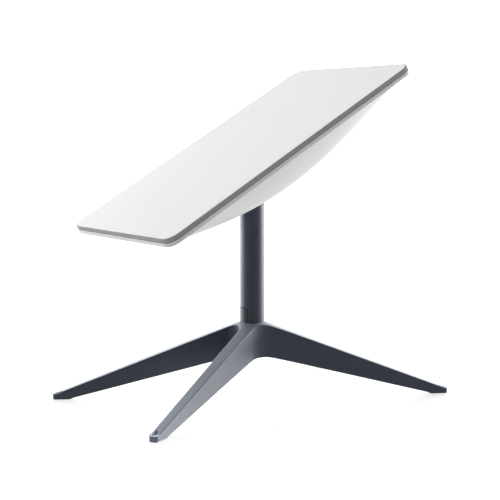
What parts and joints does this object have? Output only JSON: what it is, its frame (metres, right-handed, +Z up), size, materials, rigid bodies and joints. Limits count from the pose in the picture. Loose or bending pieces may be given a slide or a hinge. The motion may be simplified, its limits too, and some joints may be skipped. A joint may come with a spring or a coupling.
{
  "type": "motorised flat-panel satellite terminal",
  "caption": "Motorised flat-panel antenna terminal: a tilting, turning panel on a mast that latches into a four-legged stand.",
  "frame": {"origin": "on the ground under the mast axis, in the middle of the four feet", "axes": "+Z up along the mast, +Y towards the raised end of the panel at rest, +X across the panel"},
  "size_m": [0.3308, 0.5592, 0.5337],
  "materials": {
    "radome_white": "smooth satin, very fine moulded grain",
    "band_grey": "matte",
    "housing_white": "fine moulded texture",
    "gasket_black": "matte",
    "foam_white": "closed-cell foam",
    "film_amber": "polyimide film",
    "patch_copper": "etched copper",
    "board_green": "solder mask",
    "component_black": "moulded",
    "plate_aluminium": "brushed",
    "casting_charcoal": "die cast, satin powder coat",
    "mast_charcoal": "drawn tube, satin anodised",
    "head_aluminium": "die cast",
    "button_charcoal": "satin",
    "liner_black": "moulded nylon",
    "pad_rubber": "matte",
    "steel": "zinc plated",
    "gear_white": "acetal",
    "bush_bronze": "sintered bronze",
    "motor_steel": "drawn can",
    "cable_black": "jacket"
  },
  "bodies": {
    "mast_and_stand": {"base_casting": "casting_charcoal", "foot_pads": "pad_rubber", "socket_liner": "liner_black", "mast_tube": "mast_charcoal", "mast_end_plug": "liner_black", "cable_socket": "component_black", "mast_cable": "cable_black", "cable_plug": "component_black", "latch_guide": "gear_white", "latch_spring_front": "steel", "latch_spring_rear": "steel", "azimuth_ring_gear": "gear_white", "lower_azimuth_bush": "bush_bronze", "upper_azimuth_bush": "bush_bronze", "thrust_washer": "gear_white", "azimuth_stop_pin": "steel"},
    "turning_head": {"yoke_head": "head_aluminium", "motor_cover": "component_black", "azimuth_gearbox": "bush_bronze", "azimuth_motor": "motor_steel", "retaining_ring": "steel", "tilt_pin_right": "steel", "tilt_pin_left": "steel", "pin_circlip": "steel", "gear_screw": "steel", "tilt_sector_gear": "gear_white"},
    "panel": {"radome_face": "radome_white", "edge_band": "band_grey", "upper_foam_spacer": "foam_white", "patch_film": "film_amber", "patch_elements": "patch_copper", "lower_foam_spacer": "foam_white", "antenna_board": "board_green", "backing_plate": "plate_aluminium", "plate_screws": "steel", "perimeter_gasket": "gasket_black", "rear_housing": "housing_white", "tilt_bracket_right": "plate_aluminium", "tilt_bracket_left": "plate_aluminium", "bracket_screws": "steel", "tilt_bush_right": "bush_bronze", "tilt_bush_left": "bush_bronze", "pin_seal_right": "gasket_black", "pin_seal_left": "gasket_black", "tilt_motor_mount": "plate_aluminium", "tilt_gearbox": "bush_bronze", "tilt_motor": "motor_steel", "control_board": "board_green", "board_parts": "component_black"},
    "azimuth_drive": {"azimuth_pinion": "steel"},
    "tilt_drive": {"tilt_pinion": "steel"},
    "front_button": {"release_button_front": "button_charcoal"},
    "rear_button": {"release_button_rear": "button_charcoal"}
  },
  "joints": [
    {"name": "azimuth", "type": "hinge", "parent": "mast_and_stand", "child": "turning_head", "pos_m": [0, 0, 0.33], "axis": [0, 0, 1], "range_deg": [-170, 170]},
    {"name": "tilt", "type": "hinge", "parent": "turning_head", "child": "panel", "pos_m": [0, 0, 0.3681], "axis": [1, 0, 0], "range_deg": [-30, 55]},
    {"name": "azimuth_pinion_turn", "type": "hinge", "parent": "turning_head", "child": "azimuth_drive", "pos_m": [0, 0.0096, 0.33], "axis": [0, 0, 1], "range_deg": [-512, 512]},
    {"name": "tilt_pinion_turn", "type": "hinge", "parent": "panel", "child": "tilt_drive", "pos_m": [0.048, 0.02598, 0.3831], "axis": [1, 0, 0], "range_deg": [-152, 277]},
    {"name": "front_button_press", "type": "slide", "parent": "mast_and_stand", "child": "front_button", "axis": [0, 1, 0], "range_m": [0, 0.0025], "stiffness_N_per_m": 600, "springref_m": -0.002, "deforming": ["latch_spring_front"]},
    {"name": "rear_button_press", "type": "slide", "parent": "mast_and_stand", "child": "rear_button", "axis": [0, -1, 0], "range_m": [0, 0.0025], "stiffness_N_per_m": 600, "springref_m": -0.002, "deforming": ["latch_spring_rear"]}
  ],
  "couplings": [
    {"joint": "azimuth_pinion_turn", "follows": "azimuth", "ratio": -3},
    {"joint": "tilt_pinion_turn", "follows": "tilt", "ratio": 5}
  ]
}
